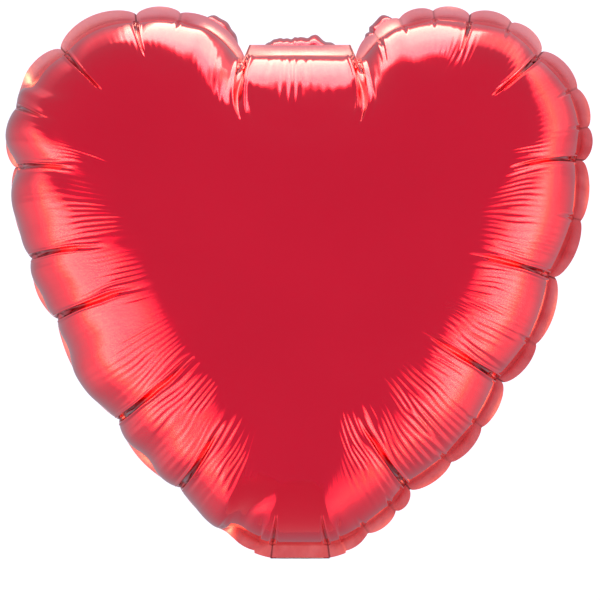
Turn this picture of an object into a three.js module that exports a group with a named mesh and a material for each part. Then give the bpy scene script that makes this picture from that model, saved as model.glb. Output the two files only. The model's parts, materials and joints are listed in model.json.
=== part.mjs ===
// A heart-shaped foil balloon, inflated, with its filling tail folded up behind it. Millimetres, +Z up.
// The front faces -Y. The origin is the neck, where a ribbon is tied, at the bottom tip of the heart.
//
// The balloon is four films: a front and a back foil sheet welded together round their rim, and a front
// and a back clear valve film that run through the neck. The tail folds at the neck, so each of the four
// films is two rigid pieces, one on either side of that fold.
import * as THREE from "three";

// Driving dimensions
const WIDTH = 379; // across the lobes, over the weld rim
const HEIGHT = 354.5; // from the neck to the top of the lobes
const THICKNESS = 178; // front to back, at the fullest point
const FILM = 0.05; // every film
const GAP = 0.3; // between the loose plies of the neck and the tail
const RIM = 7.5; // width of the weld rim outside the seam line
const NECK_WIDTH = 38;
const TAIL_LENGTH = 60;
const TAIL_END_WIDTH = 42;
const VALVE_WIDTH = 30;
const VALVE_REACH = 78; // how far the valve films run up inside
const VALVE_CHAMFER = 8; // at their inner end
const VALVE_SHORT = 4; // from their outer end to the back ply's
const FRONT_SHORT = 8; // from the front ply's end to the back ply's
const TAIL_CORNER = 6; // radius
const THUMB_RADIUS = VALVE_WIDTH / 4;
const FOLD_DEG = 115; // turn of the tail from hanging straight down to its place behind the tip

// The heart's outline: lobes on circles, long shallow sides, a rounded tip and a straight top notch
const LOBE_RADIUS = 92.5;
const LOBE_X = WIDTH / 2 - LOBE_RADIUS;
const LOBE_Z = HEIGHT - LOBE_RADIUS;
const SHOULDER = new THREE.Vector2(WIDTH / 2 - 0.7, LOBE_Z - 11.5); // where a lobe runs into its side
const TIP_CORNER = new THREE.Vector2(42.5, 11.5); // where a side runs into the tip
const SIDE_SAGITTA = 31.5; // how far a side bows out of its chord
const TIP_SAGITTA = 2;
const NOTCH_HALF = 32.5;
const MIDDLE = new THREE.Vector2(0, 197); // the point that the foil domes about

// Puffs between the pleats of the rim, by length, from the neck up to the notch
const RIGHT_PUFFS = [28, 26, 17, 30, 30, 28, 36, 41, 42, 39, 21, 28, 31, 27, 27, 24, 20, 20, 18];
const LEFT_PUFFS = [34, 36, 61, 74, 47, 59, 37, 51, 52, 26, 48];
const COLUMNS_PER_PUFF = 4;
const PLEAT_DEPTH = 0.07; // of the puff's length
const PUFF_SWELL = 0.03; // of the puff's length
const PUFF_ROUND = 0.7; // below 1, a puff is fuller than half a sine wave
const RIM_WAVE = 2.2; // how far the rim's edge waves to the front and the back
const SEAM_WAVE = 0.9; // how far the seam line does

// Rings of the dome as shares of the way from the middle to the seam line
const RINGS = [0.3, 0.55, 0.74, 0.87, 0.95, 1];
const DOME_FALL = 2.4;
const DOME_ROUND = 0.55;
const PLEAT_START = 0.55; // share of the way out where the pleats begin
const PLEAT_DIP = 0.12; // share of the dome's height that a pleat takes away

// Stack of plies in the neck and the tail, from the middle plane to the outside
const VALVE_Y = GAP / 2;
const PLY_Y = VALVE_Y + FILM + GAP;
const FOLD_Z = -0.6; // the fold line, just under the weld rim
const TAIL_ROOT = 1; // from the fold line to the tail's plies

const foil = new THREE.MeshStandardMaterial({ color: 0xc61f35, roughness: 0.16, metalness: 1 });
const valveFilm = new THREE.MeshStandardMaterial({ color: 0xdfe4e6, roughness: 0.25, metalness: 0 });

const smooth = (t) => t * t * (3 - 2 * t);

// An arc from the path's current point to another, bowing to the right of its chord by the sagitta
function arcTo(path, from, to, sagitta) {
  const half = from.distanceTo(to) / 2;
  const radius = (half * half + sagitta * sagitta) / (2 * sagitta);
  const along = to.clone().sub(from).normalize();
  const left = new THREE.Vector2(-along.y, along.x);
  const centre = from.clone().add(to).multiplyScalar(0.5);
  centre.addScaledVector(left, radius - sagitta);
  const start = Math.atan2(from.y - centre.y, from.x - centre.x);
  const end = Math.atan2(to.y - centre.y, to.x - centre.x);
  path.absarc(centre.x, centre.y, radius, start, end, false);
}

// The right half of the rim's outer edge, from the neck's corner up to the notch's corner
function rightEdge() {
  const neck = new THREE.Vector2(NECK_WIDTH / 2, 0);
  const path = new THREE.Path();
  path.moveTo(neck.x, neck.y);
  arcTo(path, neck, TIP_CORNER, TIP_SAGITTA);
  arcTo(path, TIP_CORNER, SHOULDER, SIDE_SAGITTA);
  const start = Math.atan2(SHOULDER.y - LOBE_Z, SHOULDER.x - LOBE_X);
  const end = Math.PI - Math.acos((LOBE_X - NOTCH_HALF) / LOBE_RADIUS);
  path.absarc(LOBE_X, LOBE_Z, LOBE_RADIUS, start, end, false);
  return path;
}

// A run of puffs along one half of the edge. Each column is a point of the edge with its outward
// direction, how far it stands off the smooth outline, how deep in a pleat it is and its wave.
function puffColumns(lengths, mirrored) {
  const path = rightEdge();
  const total = lengths.reduce((sum, length) => sum + length, 0);
  const columns = [];
  let begun = 0;
  lengths.forEach((length, puff) => {
    for (let k = 0; k < COLUMNS_PER_PUFF; k++) {
      const t = k / COLUMNS_PER_PUFF;
      const u = (begun + t * length) / total;
      const at = path.getPointAt(u);
      const along = path.getTangentAt(u);
      const swell = Math.sin(Math.PI * t) ** PUFF_ROUND;
      const neckCorner = puff === 0 && k === 0;
      columns.push({
        edge: at,
        outward: new THREE.Vector2(along.y, -along.x),
        stand: neckCorner ? 0 : length * (PUFF_SWELL * swell - PLEAT_DEPTH * (1 - swell)),
        pleat: 1 - swell,
        wave: Math.sin(Math.PI * t) * (puff % 2 ? 1 : -1),
        open: 0,
      });
    }
    begun += length;
  });
  if (mirrored) columns.forEach(mirrorColumn);
  return columns;
}

function mirrorColumn(column) {
  column.edge.x *= -1;
  column.outward.x *= -1;
}

// A straight puff across the notch or the neck
function straightColumns(from, to, outward, open, pleat) {
  const columns = [];
  for (let k = 0; k < COLUMNS_PER_PUFF; k++) {
    const t = k / COLUMNS_PER_PUFF;
    columns.push({
      edge: from.clone().lerp(to, t),
      outward,
      stand: 0,
      pleat: k ? 0 : pleat,
      wave: 0,
      open,
    });
  }
  return columns;
}

// Every column round the rim, counter-clockwise seen from the front, from the neck's right corner
function rimColumns() {
  const right = puffColumns(RIGHT_PUFFS, false);
  const left = puffColumns(LEFT_PUFFS, true);
  const notch = rightEdge().getPointAt(1);
  const notchLeft = new THREE.Vector2(-notch.x, notch.y);
  const neck = new THREE.Vector2(NECK_WIDTH / 2, 0);
  const neckLeft = new THREE.Vector2(-neck.x, 0);
  const up = new THREE.Vector2(0, 1);
  const down = new THREE.Vector2(0, -1);
  const top = straightColumns(notch, notchLeft, up, 0, 1);
  const bottom = straightColumns(neckLeft, neck, down, 1, 0);
  // The notch's left corner is a pleat like its right one.
  top.push({ ...top[0], edge: notchLeft });
  // The left half was laid out from the neck up, so it is turned round to run down to the neck.
  const leftDown = left.slice(1).reverse();
  right[0].open = 1;
  return [...right, ...top, ...leftDown, ...bottom];
}

// One foil sheet: a dome of film with a flat weld rim. side is -1 for the front and 1 for the back.
function foilSheet(side, columns) {
  const n = columns.length;
  const inner = [new THREE.Vector3(MIDDLE.x, (side * THICKNESS) / 2 - side * FILM, MIDDLE.y)];
  const domeHeight = (share) => THICKNESS / 2 * (1 - share ** DOME_FALL) ** DOME_ROUND;
  for (const share of RINGS) {
    const fade = smooth(Math.max(0, (share - PLEAT_START) / (1 - PLEAT_START)));
    for (const c of columns) {
      const seam = c.edge.clone().addScaledVector(c.outward, c.stand * fade - RIM);
      const flat = MIDDLE.clone().lerp(seam, share);
      const dome = domeHeight(share) * (1 - PLEAT_DIP * c.pleat * fade);
      const y = side * (dome + c.open * fade * PLY_Y) + SEAM_WAVE * c.wave * fade;
      inner.push(new THREE.Vector3(flat.x, y, flat.y));
    }
  }
  for (const c of columns) {
    const edge = c.edge.clone().addScaledVector(c.outward, c.stand);
    inner.push(new THREE.Vector3(edge.x, side * c.open * PLY_Y + RIM_WAVE * c.wave, edge.y));
  }
  const skin = skinTriangles(n, RINGS.length + 1);
  const normals = new THREE.BufferGeometry().setFromPoints(inner).setIndex(skin);
  normals.computeVertexNormals();
  const normal = normals.getAttribute("normal");
  const outer = inner.map((point, i) => {
    const rim = i > n * (RINGS.length - 1);
    const out = rim
      ? new THREE.Vector3(0, side, 0)
      : new THREE.Vector3().fromBufferAttribute(normal, i).multiplyScalar(-side);
    return point.clone().addScaledVector(out, FILM);
  });
  // The skin's own winding faces -Y, so it suits the front sheet's outside and the back sheet's inside.
  const count = inner.length;
  const faces = [];
  for (let i = 0; i < skin.length; i += 3) {
    const [a, b, c] = skin.slice(i, i + 3);
    const facingFront = side < 0 ? [a + count, b + count, c + count] : [a, b, c];
    const facingBack = side < 0 ? [a, c, b] : [a + count, c + count, b + count];
    faces.push(...facingFront, ...facingBack);
  }
  const last = count - n;
  for (let j = 0; j < n; j++) {
    const a = last + j;
    const b = last + ((j + 1) % n);
    const [p, q] = side < 0 ? [a, b] : [b, a];
    faces.push(p, q, q + count, p, q + count, p + count);
  }
  return new THREE.BufferGeometry().setFromPoints([...inner, ...outer]).setIndex(faces);
}

// Triangles of a fan about point 0 and rings of n points round it, facing -Y
function skinTriangles(n, rings) {
  const faces = [];
  for (let j = 0; j < n; j++) {
    const next = (j + 1) % n;
    faces.push(0, 1 + j, 1 + next);
    for (let i = 1; i < rings; i++) {
      const a = 1 + (i - 1) * n + j;
      const b = 1 + (i - 1) * n + next;
      faces.push(a, a + n, b + n, a, b + n, b);
    }
  }
  return faces;
}

// A flat film in the XZ plane, from its outline, with its inner face at a distance from the middle plane
function flatFilm(shape, side, faceY) {
  const geometry = new THREE.ExtrudeGeometry(shape, { depth: FILM, bevelEnabled: false, curveSegments: 5 });
  geometry.rotateX(Math.PI / 2);
  return geometry.translate(0, side < 0 ? -faceY : faceY + FILM, 0);
}

// A tail ply's outline: flared towards its end, with round corners and a shallow thumb notch if asked for
function tailShape(length, thumbNotch) {
  const corner = TAIL_CORNER;
  const root = NECK_WIDTH / 2;
  const end = TAIL_END_WIDTH / 2;
  const bottom = -TAIL_ROOT - length;
  const shape = new THREE.Shape();
  shape.moveTo(-root, -TAIL_ROOT);
  shape.lineTo(-end, bottom + corner);
  shape.absarc(-end + corner, bottom + corner, corner, Math.PI, 1.5 * Math.PI, false);
  if (thumbNotch) shape.absarc(0, bottom, THUMB_RADIUS, Math.PI, 0, true);
  shape.absarc(end - corner, bottom + corner, corner, 1.5 * Math.PI, 2 * Math.PI, false);
  shape.lineTo(root, -TAIL_ROOT);
  return shape;
}

// A valve film's outline between two heights, with its upper corners cut off by the chamfer
function valveShape(low, high, chamfer) {
  const half = VALVE_WIDTH / 2;
  const shape = new THREE.Shape();
  shape.moveTo(-half, low);
  shape.lineTo(half, low);
  shape.lineTo(half, high - chamfer);
  if (chamfer) {
    shape.lineTo(half - chamfer, high);
    shape.lineTo(chamfer - half, high);
  }
  shape.lineTo(-half, high - chamfer);
  return shape;
}

function named(name, geometry, material) {
  const mesh = new THREE.Mesh(geometry, material);
  mesh.name = name;
  return mesh;
}

const columns = rimColumns();
const balloon = new THREE.Group();
balloon.add(named("front_panel", foilSheet(-1, columns), foil));
balloon.add(named("back_panel", foilSheet(1, columns), foil));
const innerValve = valveShape(0, VALVE_REACH, VALVE_CHAMFER);
balloon.add(named("valve_front_film", flatFilm(innerValve, -1, VALVE_Y), valveFilm));
balloon.add(named("valve_back_film", flatFilm(innerValve, 1, VALVE_Y), valveFilm));

const tail = new THREE.Group();
tail.position.z = FOLD_Z;
tail.rotation.x = THREE.MathUtils.degToRad(FOLD_DEG);
const tailValve = valveShape(-TAIL_ROOT - TAIL_LENGTH + VALVE_SHORT, -TAIL_ROOT, 0);
tail.add(named("tail_front_ply", flatFilm(tailShape(TAIL_LENGTH - FRONT_SHORT, true), -1, PLY_Y), foil));
tail.add(named("tail_back_ply", flatFilm(tailShape(TAIL_LENGTH, false), 1, PLY_Y), foil));
tail.add(named("tail_valve_front_film", flatFilm(tailValve, -1, VALVE_Y), valveFilm));
tail.add(named("tail_valve_back_film", flatFilm(tailValve, 1, VALVE_Y), valveFilm));
balloon.add(tail);

export default balloon;
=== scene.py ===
"""A heart-shaped foil balloon, dressed over its CAD frame. Metres, +Z up, the front faces -Y.

Each foil sheet is a net of rings and columns, shaped in millimetres: a dome with blunt sides, pulled a
little straighter between the long pleats of the rim, with a groove at each pleat and fine ripples between.
"""
import json
import math
import bpy
import numpy as np
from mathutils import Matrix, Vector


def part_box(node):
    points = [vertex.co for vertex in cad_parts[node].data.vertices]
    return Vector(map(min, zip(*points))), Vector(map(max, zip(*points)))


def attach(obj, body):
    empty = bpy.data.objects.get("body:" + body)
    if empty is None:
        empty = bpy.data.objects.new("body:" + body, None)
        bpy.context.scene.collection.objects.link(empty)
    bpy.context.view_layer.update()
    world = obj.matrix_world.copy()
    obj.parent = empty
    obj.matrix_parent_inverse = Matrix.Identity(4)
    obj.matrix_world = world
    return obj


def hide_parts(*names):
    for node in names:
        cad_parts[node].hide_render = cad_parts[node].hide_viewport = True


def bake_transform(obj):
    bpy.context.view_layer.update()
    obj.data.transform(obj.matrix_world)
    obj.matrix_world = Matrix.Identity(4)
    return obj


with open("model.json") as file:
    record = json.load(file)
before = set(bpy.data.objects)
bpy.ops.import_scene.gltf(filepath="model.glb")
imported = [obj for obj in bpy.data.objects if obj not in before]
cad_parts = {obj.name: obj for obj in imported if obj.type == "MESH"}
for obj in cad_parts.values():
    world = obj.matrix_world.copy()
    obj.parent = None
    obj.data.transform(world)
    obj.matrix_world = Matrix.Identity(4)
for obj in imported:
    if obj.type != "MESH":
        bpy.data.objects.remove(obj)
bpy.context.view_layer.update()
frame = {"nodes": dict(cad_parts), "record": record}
front_low, front_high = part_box("front_panel")
back_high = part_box("back_panel")[1]
MM = 0.001

# Driving sizes, millimetres, from the frame
WIDTH = (front_high[0] - front_low[0]) / MM
HEIGHT = front_high[2] / MM
HALF_DEPTH = (back_high[1] - front_low[1]) / MM / 2
RIM = 0.02 * WIDTH  # the weld rim's width
NECK = 0.05 * WIDTH  # half of the neck's width

# Outline of the inflated heart, as shares of its width
LOBE = 0.2441 * WIDTH
LOBE_X = WIDTH / 2 - LOBE
LOBE_Z = HEIGHT - LOBE
SHOULDER = (0.498 * WIDTH, LOBE_Z - 0.03 * WIDTH)
TIP = (0.112 * WIDTH, 0.03 * WIDTH)
SIDE_BOW = 0.083 * WIDTH
TIP_BOW = 0.005 * WIDTH
NOTCH = 0.086 * WIDTH  # half of the notch's width
NOTCH_SIDES = 0.65 * LOBE_X  # how far from the middle plane the slopes beside the notch reach
NECK_END = 3.0  # the rim is the neck's straight end below this height
UPPER, LOWER = 0.7 * HEIGHT, 0.3 * HEIGHT  # the notch lies above the first and the neck below the second
ARC_POINTS, LOBE_POINTS, END_POINTS = 160, 240, 30
MIDDLE = np.array([0.0, 0.52 * WIDTH])  # where the rings of a sheet meet

# Puff lengths between the pinches of the rim, from the neck up to the notch, and at each pinch how far its
# pleat runs in over the sheet
RIGHT_PUFFS = [30, 23, 16, 32, 30, 32, 33, 45, 40, 39, 23, 27, 35, 28, 29, 25, 23, 20, 16]
RIGHT_PLEATS = [22, 8, 8, 58, 9, 9, 64, 9, 58, 12, 44, 9, 12, 42, 9, 24, 8, 8, 18, 58]
LEFT_PUFFS = [37, 38, 60, 78, 43, 61, 40, 51, 59, 30, 50]
LEFT_PLEATS = [22, 10, 54, 66, 58, 48, 38, 22, 38, 26, 8, 54]
LONG_PLEAT = 20  # a pleat longer than this parts two pillows of film
# Thin long folds in the notch: place round the rim and reach
HAIRLINES = [(573, 30), (579, 52), (583, 64), (588, 58), (596, 26)]

# The net of a sheet
COLUMNS = 1536
RINGS = 66
CROWDING = 2.0  # how much closer the columns stand at the long pleats
CROWDED = 4.0  # and over what distance
FINE_STEP, EVEN_POINTS = 0.1, 1201  # for the helper lines round the loop
RING_POWER = 1.8  # how much closer the rings stand at the seam
STEER = 60.0  # how far in the rings still run parallel to the seam
CENTRE_DEEP = 0.4 * WIDTH  # how far in the middle lies
DOME_POWER = 0.62  # the dome's height is (1 - q^2) to this power, with q the way out
SEAM_POWER = 8  # how near the seam a sheet keeps the seam's offset from the middle plane
EDGE_SMOOTHING, STEER_SMOOTHING = 60, 500  # passes over the outward directions
WAVES_KEPT, WAVES_POWER = 1.6, 2.1  # waves in the middle's ring, and how fast more come towards the seam
THINNING = [(0.5, 2), (0.26, 4), (0.14, 8), (0.07, 16)]  # inside this way out, one column in so many is kept

# The seam between the pinches, and the pillows
PINCH_LEAST, PINCH_PER_REACH = 1.0, 0.09  # how far a long pleat draws the seam in
SEAM_ARCH = 0.6  # below 1, the seam's arches between long pleats are blunter than a sine wave's
STRAIGHT_FROM, STRAIGHT_TO, STRAIGHT_END = 2.0, 14.0, 75.0  # how far in the film is straightened
STRAIGHT_FADE = 45.0
MOST_STRAIGHTENED = 1.0  # millimetres, and no more than this share of the way:
MOST_SHARE = 0.8

# Pleats
GROOVE_LEAST, GROOVE_PER_REACH = 1.2, 0.06  # the depth at the rim
GROOVE_WIDTH, GROOVE_WIDTH_AT_END = 1.1, 0.4  # the second one is a share of the first
GROOVE_FADE = 0.6
GROOVE_ROUND = 0.2  # the radius at the groove's bottom
LIP, LIP_AT = 0.38, 2.6  # the lip's height, and its distance in groove widths
MEANDER, MEANDER_TURN = 0.8, 2.2  # how far a pleat swings aside, and through what turn in its length
SLIT = 0.55  # half of the width of the painted shade along the slit in a pleat
SLIT_GAIN = 2.5  # the slit's painted shade ends where the pleat has faded to 1 part in this
SLIT_LONG, SLIT_SHORT = 1.0, 0.5  # how dark the painted shade is, at long and at short pleats
PAIRED_PLEAT = 30  # a pleat longer than this has a hairline beside it
PAIRED_NEAREST, PAIRED_FARTHEST = 3.0, 5.5  # this far to one side
PAIRED_FROM, PAIRED_TO = 0.3, 1.12  # from and to these shares of the pleat's reach
PAIRED_RISE, PAIRED_FALL = 12.0, 14.0  # over these lengths it starts and ends
PAIRED_DEPTH = 0.5
HAIRLINE_DEPTH, HAIRLINE_WIDTH, HAIRLINE_FADE = 0.6, 0.8, 20.0
PLEAT_START = 2.5  # a pleat reaches its full depth this far in from the seam

# Ripples: how far in they are, their reach, wavelength, and height on the top and on the lower sides
RIPPLES = [
    (14, 9, 5.5, 0.03, 0.24),
    (27, 11, 5.0, 0.04, 0.30),
    (40, 10, 4.6, 0.05, 0.24),
    (54, 10, 5.2, 0.04, 0.20),
]
RIPPLE_START = 4.0
RIPPLE_SPREAD = 0.28  # how much the wavelength varies
DOWN_FROM, DOWN_FADE = -0.1, 0.7  # the outward directions that count as facing down
PATCH_WAVE, PATCH_SPREAD = 70.0, 0.5  # how far apart the patches of strong ripples are
PATCH_MEAN, PATCH_SWING, PATCH_LEAST, PATCH_MOST = 0.9, 0.5, 0.25, 1.8
CALM_BELOW, CALM_FADE = 12.0, 22.0  # the ripples fade out above the neck
LEFT_CALM = 0.6  # the left side's ripples are this share of the right side's
WAVY_POINTS = 4096  # in the random lines round the loop

# Rim, seam and overhang
RIM_PINCH = 3.6  # how far the pinches scallop the rim's edge
RIM_ARCH = 0.5  # the same for the puffs of the rim
RIM_ROLL = 0.7  # how far a puff rolls forward
TOP_ROLL = 2.2  # how much the roll turns over at the notch
RIM_WAVE = 1.0  # how far the edge swings forward and back from puff to puff
RIM_ROWS = 5
LEFT_LEAN, TOP_LEAN = 1.05, 0.35  # in quarter turns back from the middle plane
LEAN_UNEVEN = 0.4
LEAN_WAVES = (9.7, 23.1)  # two waves that make the lean uneven
LEAN_FROM, LEAN_TO = 15.0, 0.86 * HEIGHT  # where the left rim turns back
LEAN_SMOOTHING = 40
SIDE_BEHIND = 5.0  # how far behind the middle plane the left seam lies
NOTCH_AHEAD = 5.0  # how far ahead of it the notch's seam lies
OVERHANG, OVERHANG_AT, OVERHANG_REACH = 22.0, 9.0, 8.0  # the back sheet's bulge over the rim at the notch
OVERHANG_START = 3.0
OVERHANG_WIDTH = 0.75 * LOBE_X
CRUMPLES = [(12, 0.018), (30, 0.03)]  # its crumples: wavelength and height as a share of the bulge
CRUMPLE_SPREAD = 0.4
PLY = 0.5  # from the middle plane to each ply of the open neck and of the tail
WELD_GAP = 0.1  # between each sheet's rim and the seam surface, so that the two don't touch
OPEN_BEYOND, OPEN_FADE = 6.0, 8.0  # how far beside the neck the rim's two halves part

# Tail
TAIL_LENGTH = 60.0
TAIL_END = 21.0  # half of the tail's width at its end
FRONT_SHORT = 8.0  # how much shorter the front ply is
THUMB = 7.5  # the radius of the thumb notch in the front ply's end
TAIL_CORNER = 6.0
TAIL_WELD = 3.0  # the welded strip along each side of the tail
TAIL_OPENS = 8.0  # how far along the tail the plies have parted
BULGE, BULGE_RIPPLE = 1.2, 0.35
TAIL_START = 1.0  # from the fold to the ply's first points
TAIL_SMOOTHING = 12  # passes over the random ripples
OPEN_STRIP = 10  # metres: longer than any tail, so the map of its film doesn't close on itself
TAIL_ACROSS, TAIL_ALONG = 40, 60  # faces
TAIL_DIRECTION = next(m for m in frame["record"]["mounts"] if m["name"] == "tail_face")["axis"]
HINGE = frame["record"]["behaviour"]["joints"][0]["pos_m"]

# Seeds of the random draws
FRONT_SEED, BACK_SEED, TAIL_SEED = 11, 12, 23

# Colours
FOIL_RED = (0.80, 0.003, 0.031)
FOIL_RED_DEEP = (0.77, 0.002, 0.029)
# Painted shade for the pleats' slits, in place of the shadow deep in each fold: its colour and the most it
# darkens
FOLD_PAINTED_SHADE = (0.10, 0.004, 0.010)
MOST_PAINTED_SHADE = 0.9
WELD_RED = (0.70, 0.09, 0.10)
WELD_PALE = (0.80, 0.17, 0.18)
# Painted light: the weld is paler at the top, as the light from above would make it
WELD_PAINTED_TOP_LIGHT = (0.95, 0.36, 0.38)
PAINTED_LIGHT_HEIGHTS = (0.8 * HEIGHT * MM, 0.92 * HEIGHT * MM)  # between these heights the weld goes over to the paler colour above, which is painted light
VALVE_CLEAR = (0.9, 0.92, 0.93)
VALVE_CLOUDY = (0.8, 0.83, 0.85)
FLOOR_PALE = (0.82, 0.82, 0.82)
FLOOR_GREY = (0.78, 0.78, 0.78)
ROOM_TINT = (1, 0.96, 1.1)
BAND_TINT = (1, 0.97, 0.50)
SOFTBOX_COLOUR = (1, 0.95, 0.62)
COAT, COAT_IOR = 0.6, 1.4  # the gloss layer over the foil and over the weld

# Camera and floor, metres
CAMERA_AWAY = 2.5
CAMERA_HEIGHT = 0.4655 * HEIGHT * MM
SENSOR = 36  # millimetres
FRAME_SHARE = 1.0145  # the view's width over the balloon's
FLOOR_HALF = 0.7
FLOOR_BELOW = 1.3

# The room's brightness by direction, from straight behind the balloon (0) to straight ahead of it (1): an
# even part, and round the sides a bright band, which rises and then falls off where the camera's side begins
EVEN = [(0.0, 1.1), (0.004, 1.1), (0.01, 0.4), (0.06, 0.42), (0.2, 0.55), (0.4, 0.66), (0.6, 0.72),
        (1.0, 0.72)]
BAND_LEVEL = 9.0
BAND_RISE = [(0.0, 0.0), (0.1, 0.01), (0.2, 0.03), (0.31, 0.08), (0.38, 0.26), (0.43, 0.62), (0.48, 1.0),
             (0.54, 1.0), (0.63, 0.9), (0.72, 0.8), (1.0, 0.8)]
BAND_FALL = [(0.0, 1.0), (0.84, 1.0), (0.89, 0.85), (0.93, 0.58), (0.96, 0.3), (0.985, 0.07), (1.0, 0.0)]
# How the band goes from straight down (0) to straight up (1): how much earlier it rises, and on each side of
# the room where it ends and its share of the full level
BAND_EARLY = [(0.0, 0.0), (0.45, 0.0), (0.6, 0.06), (0.8, 0.08), (0.9, 0.14), (1.0, 0.14)]
END_RIGHT = [(0.0, 0.5), (0.06, 0.6), (0.12, 0.71), (0.2, 0.73), (0.36, 0.77), (0.42, 0.74), (0.5, 0.57),
             (0.8, 0.52), (0.9, 0.4), (1.0, 0.4)]
SHARE_RIGHT = [(0.0, 0.0), (0.04, 0.05), (0.1, 0.25), (0.165, 0.36), (0.2, 1.0), (0.4, 1.0), (0.46, 0.7),
               (0.52, 0.42), (0.8, 0.35), (0.9, 0.4), (1.0, 0.3)]
END_LEFT = [(0.0, 0.5), (0.07, 0.72), (0.12, 0.82), (0.2, 0.84), (0.3, 0.87), (0.34, 0.86), (0.41, 0.77),
            (0.5, 0.62), (0.6, 0.5), (0.7, 0.35), (1.0, 0.34)]
SHARE_LEFT = [(0.0, 0.0), (0.04, 0.03), (0.07, 0.1), (0.12, 0.45), (0.17, 0.62), (0.2, 0.95), (0.3, 1.05),
              (0.4, 0.95), (0.45, 0.6), (0.55, 0.42), (0.7, 0.1), (0.85, 0.12), (0.93, 0.2), (1.0, 0.3)]

# The softbox above the notch, metres, and each of its lamps' share of its size and of its brightness
SOFTBOX = (0.36, 0.22)
SOFTBOX_STEPS = [(1.0, 0.2), (0.93, 0.45), (0.87, 0.75), (0.8, 1.0)]
SOFTBOX_STACK = 0.01  # how much higher the widest lamp hangs
SOFTBOX_AT = (0.0, 0.097, 0.57)
SOFTBOX_TURN = -21
SOFTBOX_WATTS = 0.82


def unit(v):
    """Vectors scaled to length 1, where one of no length stays so."""
    return v / (np.linalg.norm(v, axis=-1, keepdims=True) + 1e-12)


def ease(t):
    """From 0 to 1 as t does, with a soft start and end."""
    t = np.clip(t, 0, 1)
    return t * t * (3 - 2 * t)


def arc(a, b, bow):
    """Points of an arc from a to b that bows to the right of its chord."""
    a, b = np.array(a, float), np.array(b, float)
    half = np.linalg.norm(b - a) / 2
    radius = (half * half + bow * bow) / (2 * bow)
    along = (b - a) / (2 * half)
    centre = (a + b) / 2 + np.array([-along[1], along[0]]) * (radius - bow)
    first = math.atan2(a[1] - centre[1], a[0] - centre[0])
    last = math.atan2(b[1] - centre[1], b[0] - centre[0])
    if last < first:
        last += 2 * math.pi
    turn = np.linspace(first, last, ARC_POINTS)
    return centre + radius * np.stack([np.cos(turn), np.sin(turn)], 1)


def half_outline():
    """The right half of the outline, from the neck up to the notch."""
    first = math.atan2(SHOULDER[1] - LOBE_Z, SHOULDER[0] - LOBE_X)
    last = math.pi - math.acos((LOBE_X - NOTCH) / LOBE)
    turn = np.linspace(first, last, LOBE_POINTS)
    lobe = np.array([LOBE_X, LOBE_Z]) + LOBE * np.stack([np.cos(turn), np.sin(turn)], 1)
    bottom = arc((NECK, 0), TIP, TIP_BOW)
    side = arc(TIP, SHOULDER, SIDE_BOW)
    return np.vstack([bottom, side[1:], lobe[1:]])


def lengths(points):
    """The distance along a line of points, at each of them."""
    return np.r_[0, np.cumsum(np.linalg.norm(np.diff(points, axis=0), axis=1))]


def outline():
    """The outline as a closed loop from the neck's right corner, and the place and reach of each pleat."""
    right = half_outline()
    left = right[::-1] * [-1, 1]
    notch = np.linspace(right[-1], left[0], END_POINTS)[1:-1]
    neck = np.linspace(left[-1], right[0], END_POINTS)[1:]
    loop = np.vstack([right, notch, left, neck])
    half = lengths(right)[-1]
    left_end = lengths(loop)[-len(neck) - 1]
    up_right = np.r_[0, np.cumsum(RIGHT_PUFFS) / sum(RIGHT_PUFFS)] * half
    up_left = np.r_[0, np.cumsum(LEFT_PUFFS) / sum(LEFT_PUFFS)] * half
    places = np.r_[up_right, left_end - up_left[::-1]]
    return loop, places, np.r_[RIGHT_PLEATS, LEFT_PLEATS[::-1]].astype(float)


def pick(at, along, points):
    """The places at some lengths along a line of points."""
    return np.stack([np.interp(at, along, points[:, k]) for k in (0, 1)], 1)


def soften(values, passes):
    """Evens out values round a closed loop."""
    for _ in range(passes):
        values = (np.roll(values, 1, 0) + 2 * values + np.roll(values, -1, 0)) / 4
    return values


def outward(loop, passes):
    """The outward direction at each point of an evenly spaced loop, smoothed."""
    tangent = unit(np.roll(loop, -1, 0) - np.roll(loop, 1, 0))
    return unit(soften(np.stack([tangent[:, 1], -tangent[:, 0]], 1), passes))


def apart(at, places, total):
    """The signed distance along the loop from every place to every column."""
    return (at[:, None] - places[None] + total / 2) % total - total / 2


def stretches(at, places, total):
    """For each column, which of the stretches between places it is in, and how far along it, 0 to 1."""
    knots = np.r_[places, places[0] + total]
    here = np.where(at < knots[0], at + total, at)
    which = np.clip(np.searchsorted(knots, here, side="right") - 1, 0, len(places) - 1)
    return which, (here - knots[which]) / (knots[which + 1] - knots[which])


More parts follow.
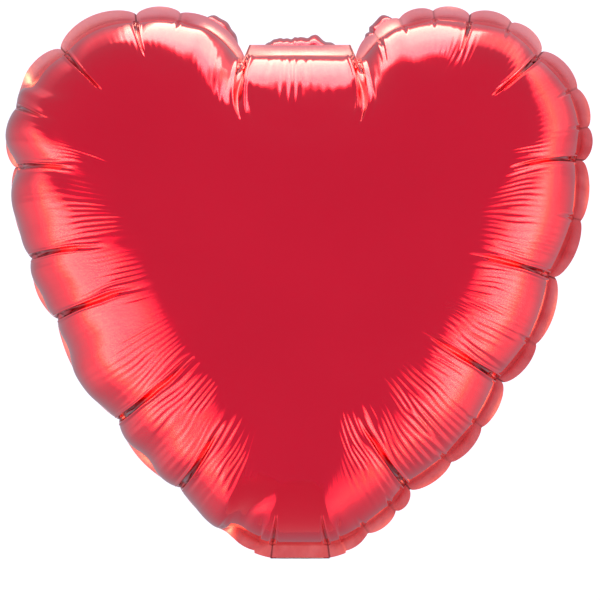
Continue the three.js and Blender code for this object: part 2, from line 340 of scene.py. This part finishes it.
class Net:
    """The columns round the rim and the rings of a sheet, and what varies along them, for both sheets."""

    def __init__(self):
        loop, self.places, self.reaches = outline()
        along = lengths(loop)
        self.total = along[-1]
        self.long = self.reaches > LONG_PLEAT
        self.at = self.spaced_columns()
        self.edge = pick(self.at, along, loop)
        even = np.linspace(0, self.total, EVEN_POINTS)[:-1]
        self.out = self.directions(even, outward(pick(even, along, loop), EDGE_SMOOTHING))
        self.steer = self.directions(even, outward(pick(even, along, loop), STEER_SMOOTHING))
        x, z = self.edge.T
        self.ends = (z < NECK_END) | ((np.abs(x) < NOTCH) & (z > UPPER))
        self.lean_rim(x, z)
        self.pinch_seam()
        w = np.linspace(0, 1, RINGS + 1)[:-1]
        q = 1 - w ** RING_POWER
        self.way_out = q
        self.deep = 2 * q * (1 - q) * STEER + (1 - q) ** 2 * CENTRE_DEEP

    def directions(self, even, found):
        """Directions found at even places, carried over to the columns."""
        return unit(pick(self.at, np.r_[even, self.total], np.r_[found, found[:1]]))

    def spaced_columns(self):
        """The columns' places round the rim, closer together at the long pleats."""
        fine = np.arange(0, self.total, FINE_STEP)
        near = apart(fine, self.places[self.long], self.total)
        density = 1 + CROWDING * np.exp(-(near / CROWDED) ** 2).sum(1)
        share = np.cumsum(density) / density.sum()
        return np.interp(np.arange(COLUMNS) / COLUMNS, share, fine)

    def lean_rim(self, x, z):
        """How far the rim is turned back, in quarter turns, and how far back the seam lies."""
        left = (x < 0) & (z > LEAN_FROM) & (z < LEAN_TO)
        top = (np.abs(x) < NOTCH_SIDES) & (z > UPPER)
        back = soften(np.where(left, 1.0, 0), LEAN_SMOOTHING)
        ahead = soften(np.where(top, 1.0, 0), LEAN_SMOOTHING)
        uneven = 0.5 + 0.5 * np.sin(self.at / LEAN_WAVES[0]) * np.sin(self.at / LEAN_WAVES[1])
        self.lean = back * (LEFT_LEAN - LEAN_UNEVEN * uneven ** 2) + ahead * TOP_LEAN
        self.seam_y = back * SIDE_BEHIND - ahead * NOTCH_AHEAD
        self.top = ahead
        self.open = ease((NECK + OPEN_BEYOND - np.abs(x)) / OPEN_FADE) * (z < LOWER)

    def pinch_seam(self):
        """Draws the seam in at the pleats, so that it arches between them, and scallops the rim's edge."""
        depth = (PINCH_LEAST + PINCH_PER_REACH * self.reaches)[self.long]
        which, through = stretches(self.at, self.places[self.long], self.total)
        size = depth[which] * (1 - through) + np.roll(depth, -1)[which] * through
        draw_in = np.where(self.ends, 0, size * (1 - np.sin(math.pi * through) ** SEAM_ARCH))
        puff, through = stretches(self.at, self.places, self.total)
        self.swell = np.sin(math.pi * through) ** RIM_ARCH
        self.scallop = np.where(self.ends, 0, RIM_PINCH * (1 - self.swell))
        self.wave = np.where(self.ends, 0, np.sin(math.pi * through) * np.where(puff % 2, 1, -1))
        self.inset = RIM * np.cos(self.lean * math.pi / 2)
        self.seam = self.edge - self.out * (self.inset + draw_in)[:, None]


def in_space(flat):
    """Directions in the heart's plane as directions in space."""
    space = np.zeros((len(flat), 3))
    space[:, [0, 2]] = flat
    return space


def area_vectors(sheet, side):
    """The outward area vector at each point of a sheet."""
    down = np.gradient(sheet, axis=0)
    across = (np.roll(sheet, -1, 1) - np.roll(sheet, 1, 1)) / 2
    return np.cross(down, across) * side


def round_off(rings, net):
    """Drops the short waves of each ring, more of them towards the middle."""
    waves = np.fft.rfft(rings, axis=1)
    order = np.arange(waves.shape[1])
    limit = WAVES_KEPT / (1 - net.way_out + 1e-6) ** WAVES_POWER
    keep = np.exp(-np.minimum(60, (order / limit[:, None]) ** 4))
    return np.fft.irfft(waves * keep[..., None], n=COLUMNS, axis=1)


def pillow(net, side):
    """A sheet as a smooth dome with blunt sides. Its rings follow the seam and round off inwards."""
    q = net.way_out[:, None, None]
    steer = net.edge - net.out * net.inset[:, None] - net.steer * STEER
    flat = round_off((1 - q) ** 2 * MIDDLE + 2 * q * (1 - q) * steer + q ** 2 * net.seam, net)
    height = HALF_DEPTH * (1 - q[..., 0] ** 2) ** DOME_POWER
    sheet = np.empty((RINGS, COLUMNS, 3))
    sheet[..., [0, 2]] = flat
    sheet[..., 1] = side * height + net.seam_y * q[..., 0] ** SEAM_POWER
    return sheet


def straighten(sheet, net):
    """Lays the film straighter from each long pleat to the next, except at the seam and far in."""
    places = net.places[net.long]
    column = np.searchsorted(net.at, places) % COLUMNS
    ends = sheet[:, np.r_[column, column[0]]]
    which, through = stretches(net.at, places, net.total)
    through = through[None, :, None]
    chord = ends[:, which] * (1 - through) + ends[:, which + 1] * through
    starts = ease((net.deep - STRAIGHT_FROM) / (STRAIGHT_TO - STRAIGHT_FROM))
    weight = starts * ease((STRAIGHT_END - net.deep) / STRAIGHT_FADE)
    bow = np.linalg.norm(sheet - chord, axis=-1)[np.searchsorted(net.deep, STRAIGHT_TO)]
    most = np.array([bow[which == k].max() for k in range(len(places))])
    weight = weight[:, None] * np.minimum(MOST_SHARE, MOST_STRAIGHTENED / most)[which]
    return sheet * (1 - weight[..., None]) + chord * weight[..., None]


def groove(x, width):
    """A sharp fold with a raised lip on either side, about 1 deep at x = 0."""
    x = np.sqrt(x * x + GROOVE_ROUND ** 2)
    return np.exp(-x / width) - LIP * np.exp(-((x - LIP_AT * width) / width) ** 2)


def pleats(net, rng):
    """How far in the pleats fold the film at every point of a sheet, and how much painted shade darkens it
    along their slits.
    """
    depth = np.zeros((RINGS, COLUMNS))
    shade = np.zeros((RINGS, COLUMNS))
    deep = net.deep[:, None]
    for place, reach in zip(net.places, net.reaches):
        x = apart(net.at, np.array([place]), net.total).T
        x = x + MEANDER * np.sin(deep / reach * MEANDER_TURN + place)
        fade = np.clip(1 - deep / reach, 0, 1)
        width = GROOVE_WIDTH * (GROOVE_WIDTH_AT_END + (1 - GROOVE_WIDTH_AT_END) * fade)
        depth += (GROOVE_LEAST + GROOVE_PER_REACH * reach) * fade ** GROOVE_FADE * groove(x, width)
        # Painted shade: the colour is darkened along the slit near the rim, in place of the shadow inside
        # the fold
        slit = np.exp(-(x / SLIT) ** 2) * np.clip(SLIT_GAIN * fade - 1, 0, 1)
        shade = np.maximum(shade, slit * (SLIT_LONG if reach > LONG_PLEAT else SLIT_SHORT))
        if reach > PAIRED_PLEAT:
            aside = x + rng.choice([-1, 1]) * rng.uniform(PAIRED_NEAREST, PAIRED_FARTHEST)
            there = ease((deep - PAIRED_FROM * reach) / PAIRED_RISE)
            there = there * ease((PAIRED_TO * reach - deep) / PAIRED_FALL)
            depth += PAIRED_DEPTH * there * groove(aside, HAIRLINE_WIDTH)
    for place, reach in HAIRLINES:
        x = apart(net.at, np.array([place]), net.total).T
        depth += HAIRLINE_DEPTH * ease((reach - deep) / HAIRLINE_FADE) * groove(x, HAIRLINE_WIDTH)
    return depth * ease(deep / PLEAT_START), shade


def wavy(net, wave, spread, rng):
    """Random heights round the loop, of about 1, with one typical wavelength in millimetres."""
    even = WAVY_POINTS
    order = np.arange(even // 2 + 1)
    wanted = net.total / wave
    noise = np.fft.rfft(rng.standard_normal(even)) * np.exp(-((order - wanted) / (spread * wanted)) ** 2)
    line = np.fft.irfft(noise, n=even)
    at = np.arange(even) / even * net.total
    return np.interp(net.at, np.r_[at, net.total], np.r_[line, line[0]]) / line.std()


def ripples(net, rng):
    """The fine straight ripples that run in from the rim, strongest on the sides that face down."""
    height = np.zeros((RINGS, COLUMNS))
    down = ease((DOWN_FROM - net.out[:, 1]) / DOWN_FADE)
    left = net.edge[:, 0] < 0
    calm = ease((net.edge[:, 1] - CALM_BELOW) / CALM_FADE) * np.where(left, LEFT_CALM, 1)
    for middle, reach, wave, low, high in RIPPLES:
        size = (low + (high - low) * down) * calm
        patch = PATCH_MEAN + PATCH_SWING * wavy(net, PATCH_WAVE, PATCH_SPREAD, rng)
        patch = np.clip(patch, PATCH_LEAST, PATCH_MOST)
        there = np.exp(-((net.deep[:, None] - middle) / reach) ** 2)
        height += wavy(net, wave, RIPPLE_SPREAD, rng) * size * patch * there
    return height * ease(net.deep[:, None] / RIPPLE_START)


def overhang(net, rng):
    """How the crumpled back sheet bulges out over the rim at the notch."""
    bulge = np.exp(-((net.deep - OVERHANG_AT) / OVERHANG_REACH) ** 2) * ease(net.deep / OVERHANG_START)
    arch = np.where(np.abs(net.edge[:, 0]) < OVERHANG_WIDTH, 1, 0) * net.top
    _, through = stretches(net.at, net.places[net.long], net.total)
    arch = arch * np.sin(math.pi * through) ** RIM_ARCH
    crumple = 1
    for wave, share in CRUMPLES:
        crumple = crumple + share * wavy(net, wave, CRUMPLE_SPREAD, rng)
    return OVERHANG * bulge[:, None, None] * (arch * crumple)[None, :, None] * in_space(net.out)


def foil_sheet(net, side, rng):
    """The finished net of one sheet, from the seam to the middle, and the painted shade in its folds."""
    sheet = straighten(pillow(net, side), net)
    if side > 0:
        sheet += overhang(net, rng)
    height = ripples(net, rng)
    depth, shade = pleats(net, rng)
    return sheet + unit(area_vectors(sheet, side)) * (height - depth)[..., None], shade


def rim_rows(net):
    """The weld rim's rows, from the seam line out: scalloped by the pinches and turned back on the left."""
    turn = net.lean * math.pi / 2
    direction = in_space(net.out * np.cos(turn)[:, None])
    direction[:, 1] = np.sin(turn)
    seam = in_space(net.seam)
    seam[:, 1] = net.seam_y
    rows = np.linspace(0, 1, RIM_ROWS + 1)[:, None, None]
    rim = seam + rows * direction * (RIM - net.scallop)[:, None]
    rim[..., 1] += rows[..., 0] ** 2 * net.wave * RIM_WAVE
    roll = net.swell * RIM_ROLL * (1 - TOP_ROLL * net.top) * (1 - net.open)
    rim[..., 1] -= np.sin(math.pi * rows[..., 0]) * roll
    return rim


def column_step(way_out):
    """A ring keeps one column in this many: every one near the seam, and fewer towards the middle."""
    step = 1
    for inside, wider in THINNING:
        if way_out < inside:
            step = wider
    return step


def stitch(starts, counts):
    """The faces between closed rows of points, each row as long as the one before it or half as long."""
    faces = []
    for k in range(len(starts) - 1):
        outer, inner, n, m = starts[k], starts[k + 1], counts[k], counts[k + 1]
        for j in range(m):
            c, d = inner + j, inner + (j + 1) % m
            if m == n:
                faces.append((outer + j, outer + (j + 1) % n, d, c))
            else:
                a, b, e = outer + 2 * j, outer + 2 * j + 1, outer + (2 * j + 2) % n
                faces += [(a, b, c), (b, d, c), (b, e, d)]
    return faces


def sharpen_row(mesh, first, count):
    """Makes the edges along one row of points sharp."""
    ends = np.zeros(2 * len(mesh.edges), np.int32)
    mesh.edges.foreach_get("vertices", ends)
    along = ((ends >= first) & (ends < first + count)).reshape(-1, 2).all(1)
    mesh.edges.foreach_set("use_edge_sharp", along)


def sheet_mesh(name, side, sheet, shade, rim, net):
    """A foil sheet's mesh: the rim's rows from its edge in, then the rings, thinned towards the middle."""
    rim = rim.copy()
    rim[..., 1] += side * (WELD_GAP + net.open * (PLY - WELD_GAP))
    rows = [(rim[k], 1, -RIM * k / RIM_ROWS, shade[0]) for k in range(RIM_ROWS, -1, -1)]
    rows += [(sheet[i], column_step(net.way_out[i]), net.deep[i], shade[i]) for i in range(1, RINGS)]
    points, film, painted_shade, starts, counts = [], [], [], [], []
    for row, step, deep, row_shade in rows:
        starts.append(sum(counts))
        counts.append(COLUMNS // step)
        points.append(row[::step])
        film.append(np.stack([net.at[::step] * MM, np.full(counts[-1], deep * MM)], 1))
        painted_shade.append(row_shade[::step])
    middle = sum(counts)
    points.append(sheet[-1].mean(0, keepdims=True))
    film.append(np.zeros((1, 2)))
    faces = stitch(starts, counts)
    faces += [(starts[-1] + j, starts[-1] + (j + 1) % counts[-1], middle) for j in range(counts[-1])]
    if side > 0:
        faces = [face[::-1] for face in faces]
    obj = new_mesh(name, np.vstack(points) * MM, faces, np.vstack(film), net.total * MM)
    # The fold attribute carries the painted shade of the pleats' slits to the materials
    fold = obj.data.attributes.new("fold", "FLOAT", "POINT")
    fold.data.foreach_set("value", np.r_[tuple(painted_shade) + (0,)].astype(np.float32))
    weld = np.zeros(len(faces), np.int32)
    weld[:RIM_ROWS * COLUMNS] = 1
    obj.data.polygons.foreach_set("material_index", weld)
    sharpen_row(obj.data, starts[RIM_ROWS], COLUMNS)
    return obj


def new_mesh(name, points, faces, film, around):
    """A smooth mesh object with a UV map of its place on the film, which closes on itself after around."""
    mesh = bpy.data.meshes.new(name)
    mesh.from_pydata(points.tolist(), [], faces)
    mesh.polygons.foreach_set("use_smooth", np.ones(len(mesh.polygons), bool))
    corner = np.zeros(len(mesh.loops), np.int32)
    mesh.loops.foreach_get("vertex_index", corner)
    place = film[corner]
    size = np.zeros(len(mesh.polygons), np.int32)
    mesh.polygons.foreach_get("loop_total", size)
    face = np.repeat(np.arange(len(size)), size)
    far = np.zeros(len(size))
    np.maximum.at(far, face, place[:, 0])
    place[:, 0] += np.where(far[face] - place[:, 0] > around / 2, around, 0)
    mesh.uv_layers.new(name="film").data.foreach_set("uv", place.ravel())
    mesh.update()
    obj = bpy.data.objects.new(name, mesh)
    bpy.context.scene.collection.objects.link(obj)
    return obj


def smooth_noise(rng, rows, columns):
    """Soft random values of about 1, rows by columns."""
    noise = rng.standard_normal((rows, columns))
    for _ in range(TAIL_SMOOTHING):
        noise = (noise + np.roll(noise, 1, 0) + np.roll(noise, -1, 0)) / 3
        noise[:, 1:-1] = (noise[:, :-2] + 2 * noise[:, 1:-1] + noise[:, 2:]) / 4
    return noise / noise.std()


def tail_reach(x, half, length, thumb):
    """How long the tail is at x from its middle: rounded at the corners, with a thumb notch in one ply."""
    notch = thumb * max(0, 1 - (x / THUMB) ** 2) ** 0.5
    corner = max(0, abs(x) - (half - TAIL_CORNER))
    return length - notch - (TAIL_CORNER - math.sqrt(max(0, TAIL_CORNER ** 2 - corner * corner)))


def tail_ply(name, side, length, thumb, rng):
    """One ply of the tail, from the neck's end, round the fold and along to its cut end."""
    out = np.array(TAIL_DIRECTION)
    forth = np.array([0, -out[2], out[1]])
    ripple = smooth_noise(rng, TAIL_ALONG + 1, TAIL_ACROSS + 1)
    points, film = [], []
    for j, down in enumerate(np.linspace(0, 1, TAIL_ALONG + 1)):
        half = NECK + (TAIL_END - NECK) * down
        for i, side_share in enumerate(np.linspace(-1, 1, TAIL_ACROSS + 1)):
            x = half * side_share
            d = TAIL_START + (tail_reach(x, half, length, thumb) - TAIL_START) * down
            parted = max(0, 1 - (abs(x) / (half - TAIL_WELD)) ** 2) * min(1, d / TAIL_OPENS)
            h = PLY + BULGE * parted + BULGE_RIPPLE * parted * ripple[j, i]
            points.append(np.array([x, 0, 0]) + forth * d - out * side * h)
            film.append((x * MM, d * MM))
    points = np.array(points) * MM + np.array(HINGE)
    faces = []
    for j in range(TAIL_ALONG):
        for i in range(TAIL_ACROSS):
            a = j * (TAIL_ACROSS + 1) + i
            b = a + TAIL_ACROSS + 1
            face = (a, a + 1, b + 1, b)
            faces.append(face if side < 0 else face[::-1])
    return new_mesh(name, points, faces, np.array(film), OPEN_STRIP)


class Nodes:
    """Short names for making and joining the nodes of a material or of the world."""

    def __init__(self, tree, shader):
        self.tree = tree
        self.shader = tree.nodes[shader]

    def add(self, kind, **values):
        """A new node. Each value goes to the input of that name, or else to the setting of that name."""
        node = self.tree.nodes.new(kind)
        for name, value in values.items():
            if name in node.inputs:
                node.inputs[name].default_value = value
            else:
                setattr(node, name, value)
        return node

    def join(self, source, target):
        self.tree.links.new(source, target)

    def drive(self, name, source):
        """Joins a source to one of the shader's inputs."""
        self.join(source, self.shader.inputs[name])

    def film_place(self, across, along):
        """The place on the film, scaled by different amounts across and along the wrinkles."""
        where = self.add("ShaderNodeTexCoord")
        scale = self.add("ShaderNodeMapping", Scale=(across, along, 1))
        self.join(where.outputs["UV"], scale.inputs["Vector"])
        return scale.outputs["Vector"]

    def object_place(self):
        return self.add("ShaderNodeTexCoord").outputs["Object"]

    def noise(self, place, scale, detail=2.0):
        node = self.add("ShaderNodeTexNoise", Scale=scale, Detail=detail)
        self.join(place, node.inputs["Vector"])
        return node.outputs["Fac"]

    def range(self, value, low, high, low_in=0.3, high_in=0.7):
        """A value that goes from low_in to high_in, made to go from low to high."""
        node = self.add("ShaderNodeMapRange")
        self.join(value, node.inputs["Value"])
        for name, number in (("From Min", low_in), ("From Max", high_in), ("To Min", low), ("To Max", high)):
            node.inputs[name].default_value = number
        return node.outputs["Result"]

    def blend_colours(self, share, first, second):
        """Between two colours, either of which may be another node's output."""
        node = self.add("ShaderNodeMix", data_type="RGBA")
        self.join(share, node.inputs["Factor"])
        for name, colour in (("A", first), ("B", second)):
            if isinstance(colour, tuple):
                node.inputs[name].default_value = (*colour, 1)
            else:
                self.join(colour, node.inputs[name])
        return node.outputs["Result"]

    def blend(self, share, first, second):
        """Between two values."""
        node = self.add("ShaderNodeMix")
        for name, source in (("Factor", share), ("A", first), ("B", second)):
            self.join(source, node.inputs[name])
        return node.outputs["Result"]

    def bump(self, height, depth, before=None):
        node = self.add("ShaderNodeBump", Distance=depth)
        self.join(height, node.inputs["Height"])
        if before:
            self.join(before, node.inputs["Normal"])
        return node.outputs["Normal"]

    def math(self, operation, first, second):
        node = self.add("ShaderNodeMath", operation=operation)
        for socket, value in zip(node.inputs, (first, second)):
            if isinstance(value, float):
                socket.default_value = value
            else:
                self.join(value, socket)
        return node.outputs["Value"]

    def vector(self, operation, source, by=None):
        node = self.add("ShaderNodeVectorMath", operation=operation)
        self.join(source, node.inputs[0])
        if by:
            node.inputs[1].default_value = by
        return node.outputs["Vector"]

    def part(self, source, axis):
        node = self.add("ShaderNodeSeparateXYZ")
        self.join(source, node.inputs[0])
        return node.outputs[axis]

    def curve(self, value, points):
        """Straight lines between points, whose heights may reach 2."""
        node = self.add("ShaderNodeFloatCurve")
        self.join(value, node.inputs["Value"])
        knots = node.mapping.curves[0].points
        while len(knots) < len(points):
            knots.new(0.5, 0.5)
        for knot, (place, level) in zip(knots, points):
            knot.location = (place, level / 2)
            knot.handle_type = "VECTOR"
        node.mapping.update()
        return self.math("MULTIPLY", node.outputs["Value"], 2.0)


def new_material(name, **values):
    """A material, with some of its shader's inputs set, and its nodes."""
    material = bpy.data.materials.new(name)
    material.use_nodes = True
    nodes = Nodes(material.node_tree, "Principled BSDF")
    for socket, value in values.items():
        nodes.shader.inputs[socket.replace("_", " ")].default_value = value
    return material, nodes


def paint_fold_shade(n, colour):
    """Drives the base colour with a colour that darkens towards painted shade in the pleats' slits."""
    fold = n.add("ShaderNodeAttribute", attribute_name="fold").outputs["Fac"]
    shade = n.range(fold, 0, MOST_PAINTED_SHADE, low_in=0, high_in=1)
    n.drive("Base Color", n.blend_colours(shade, colour, FOLD_PAINTED_SHADE))


def foil_material():
    """Mirror foil under red lacquer: nearly even colour, painted shade in the slits, fine wrinkles and a
    trace of haze.
    """
    material, n = new_material(
        "red_foil", Metallic=1.0, Coat_Weight=COAT, Coat_Roughness=0.04, Coat_IOR=COAT_IOR)
    cloud = n.noise(n.object_place(), scale=14, detail=3)
    paint_fold_shade(n, n.blend_colours(n.range(cloud, 0, 1), FOIL_RED, FOIL_RED_DEEP))
    haze = n.noise(n.object_place(), scale=60, detail=4)
    n.drive("Roughness", n.range(haze, low=0.07, high=0.13))
    wrinkle = n.bump(n.noise(n.film_place(across=260, along=12), scale=1), depth=0.00006)
    grain = n.noise(n.object_place(), scale=500)
    n.drive("Normal", n.bump(grain, depth=0.000008, before=wrinkle))
    return material


def weld_material():
    """The welded rim, where the two sheets are pressed together: paler, hazier, finely crinkled, painted
    lighter on top.
    """
    material, n = new_material(
        "weld_rim", Metallic=0.85, Coat_Weight=COAT, Coat_Roughness=0.2, Coat_IOR=COAT_IOR)
    cloud = n.noise(n.film_place(across=90, along=60), scale=1, detail=3)
    colour = n.blend_colours(n.range(cloud, 0, 1), WELD_RED, WELD_PALE)
    # Painted light: the weld's colour goes paler towards the top, as if lit from above
    high = n.range(n.part(n.object_place(), "Z"), 0, 1, *PAINTED_LIGHT_HEIGHTS)
    paint_fold_shade(n, n.blend_colours(high, colour, WELD_PAINTED_TOP_LIGHT))
    haze = n.noise(n.object_place(), scale=120, detail=3)
    n.drive("Roughness", n.range(haze, low=0.42, high=0.58))
    crinkle = n.noise(n.film_place(across=420, along=130), scale=1, detail=3)
    n.drive("Normal", n.bump(crinkle, depth=0.00025))
    return material


def film_material():
    """The clear valve film: a little cloudy, with faint ripples."""
    material, n = new_material("valve_film", Roughness=0.25, Alpha=0.45, IOR=1.5)
    cloud = n.noise(n.object_place(), scale=40, detail=3)
    n.drive("Base Color", n.blend_colours(n.range(cloud, 0, 1), VALVE_CLEAR, VALVE_CLOUDY))
    n.drive("Roughness", n.range(cloud, low=0.2, high=0.32))
    n.drive("Normal", n.bump(n.noise(n.object_place(), scale=220), depth=0.0001))
    return material


def make_camera():
    camera = bpy.data.cameras.new("camera")
    obj = bpy.data.objects.new("camera", camera)
    bpy.context.scene.collection.objects.link(obj)
    obj.location = (0, -CAMERA_AWAY, CAMERA_HEIGHT)
    obj.rotation_euler = (math.radians(90), 0, 0)
    camera.sensor_width = SENSOR
    camera.lens = SENSOR * CAMERA_AWAY / (FRAME_SHARE * WIDTH * MM)
    camera.clip_end = 50
    bpy.context.scene.camera = obj


def room_band(n, ahead, around):
    """The bright band round the sides of the room, from 0 to about 1."""
    up = n.range(n.part(around, "Z"), 0, 1, low_in=-1, high_in=1)
    right = n.range(n.part(around, "X"), 0, 1, low_in=-0.25, high_in=0.25)
    end = n.blend(right, n.curve(up, END_LEFT), n.curve(up, END_RIGHT))
    share = n.blend(right, n.curve(up, SHARE_LEFT), n.curve(up, SHARE_RIGHT))
    rise = n.curve(n.math("ADD", ahead, n.curve(up, BAND_EARLY)), BAND_RISE)
    fall = n.curve(n.range(n.math("SUBTRACT", ahead, end), 0, 1, low_in=-1, high_in=0), BAND_FALL)
    return n.math("MULTIPLY", n.math("MULTIPLY", rise, fall), share)


def light_room():
    """A pale room with a bright, slightly uneven band round its sides."""
    world = bpy.data.worlds.new("studio")
    world.use_nodes = True
    bpy.context.scene.world = world
    n = Nodes(world.node_tree, "Background")
    direction = n.add("ShaderNodeTexCoord").outputs["Generated"]
    ahead = n.range(n.part(direction, "Y"), 0, 1, low_in=1, high_in=-1)
    around = n.vector("NORMALIZE", n.vector("MULTIPLY", direction, (1, 0, 1)))
    band = room_band(n, ahead, around)
    uneven = n.noise(around, scale=3.5, detail=3)
    uneven = n.range(uneven, low=0.8, high=1.15, low_in=0.35, high_in=0.65)
    level = n.math("MULTIPLY", n.math("MULTIPLY", band, uneven), BAND_LEVEL)
    n.drive("Strength", n.math("ADD", level, n.curve(ahead, EVEN)))
    in_band = n.range(band, 0, 1, low_in=0, high_in=0.3)
    n.drive("Color", n.blend_colours(in_band, ROOM_TINT, BAND_TINT))


def hang_softbox(share, brightness):
    """One of the softbox's lamps. Each hangs just under the next wider one, to fade towards the edges."""
    light = bpy.data.lights.new("softbox", "AREA")
    light.shape = "RECTANGLE"
    light.size = SOFTBOX[0] * share
    light.size_y = SOFTBOX[1] * share
    light.energy = SOFTBOX_WATTS * share ** 2 * brightness
    light.color = SOFTBOX_COLOUR
    lamp = bpy.data.objects.new("softbox", light)
    lamp.location = SOFTBOX_AT
    lamp.location.z += share * SOFTBOX_STACK
    lamp.rotation_euler = (0, 0, math.radians(SOFTBOX_TURN))
    lamp.visible_camera = False
    bpy.context.scene.collection.objects.link(lamp)


def light_studio():
    """A room that the foil mirrors, and a softbox above the notch."""
    light_room()
    for share, brightness in SOFTBOX_STEPS:
        hang_softbox(share, brightness)
    bpy.context.scene.view_settings.view_transform = "Standard"


def lay_floor():
    """A plain pale floor, well below the balloon."""
    corners = [(-1, -1), (1, -1), (1, 1), (-1, 1)]
    mesh = bpy.data.meshes.new("floor")
    points = [(x * FLOOR_HALF, y * FLOOR_HALF, -FLOOR_BELOW) for x, y in corners]
    mesh.from_pydata(points, [], [(0, 1, 2, 3)])
    floor = bpy.data.objects.new("floor", mesh)
    bpy.context.scene.collection.objects.link(floor)
    material, n = new_material("pale_floor", Roughness=0.6)
    shade = n.range(n.noise(n.object_place(), scale=3), 0, 1)
    n.drive("Base Color", n.blend_colours(shade, FLOOR_PALE, FLOOR_GREY))
    mesh.materials.append(material)


def build_balloon(foil):
    """The two foil sheets, each with its half of the weld rim."""
    net = Net()
    rim = rim_rows(net)
    weld = weld_material()
    for name, side, seed in (("front_foil", -1, FRONT_SEED), ("back_foil", 1, BACK_SEED)):
        sheet, shade = foil_sheet(net, side, np.random.default_rng(seed))
        piece = sheet_mesh(name, side, sheet, shade, rim, net)
        piece.data.materials.append(foil)
        piece.data.materials.append(weld)
        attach(piece, "envelope")
    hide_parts("front_panel")
    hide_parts("back_panel")


def build_tail(foil):
    """The tail's two plies, which bend round the fold."""
    rng = np.random.default_rng(TAIL_SEED)
    plies = (("tail_front_foil", -1, TAIL_LENGTH - FRONT_SHORT, THUMB, "tail_front_ply"),
             ("tail_back_foil", 1, TAIL_LENGTH, 0, "tail_back_ply"))
    for name, side, length, thumb, node in plies:
        piece = tail_ply(name, side, length, thumb, rng)
        piece.data.materials.append(foil)
        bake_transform(piece)
        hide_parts(node)


def dress_valve():
    """Gives the valve's films from the CAD their clear material."""
    film = film_material()
    for name in ("valve_front_film", "valve_back_film", "tail_valve_front_film", "tail_valve_back_film"):
        node = frame["nodes"][name]
        for place in range(len(node.material_slots)):
            node.material_slots[place].material = film


make_camera()
light_studio()
lay_floor()
red_foil = foil_material()
build_balloon(red_foil)
build_tail(red_foil)
dress_valve()
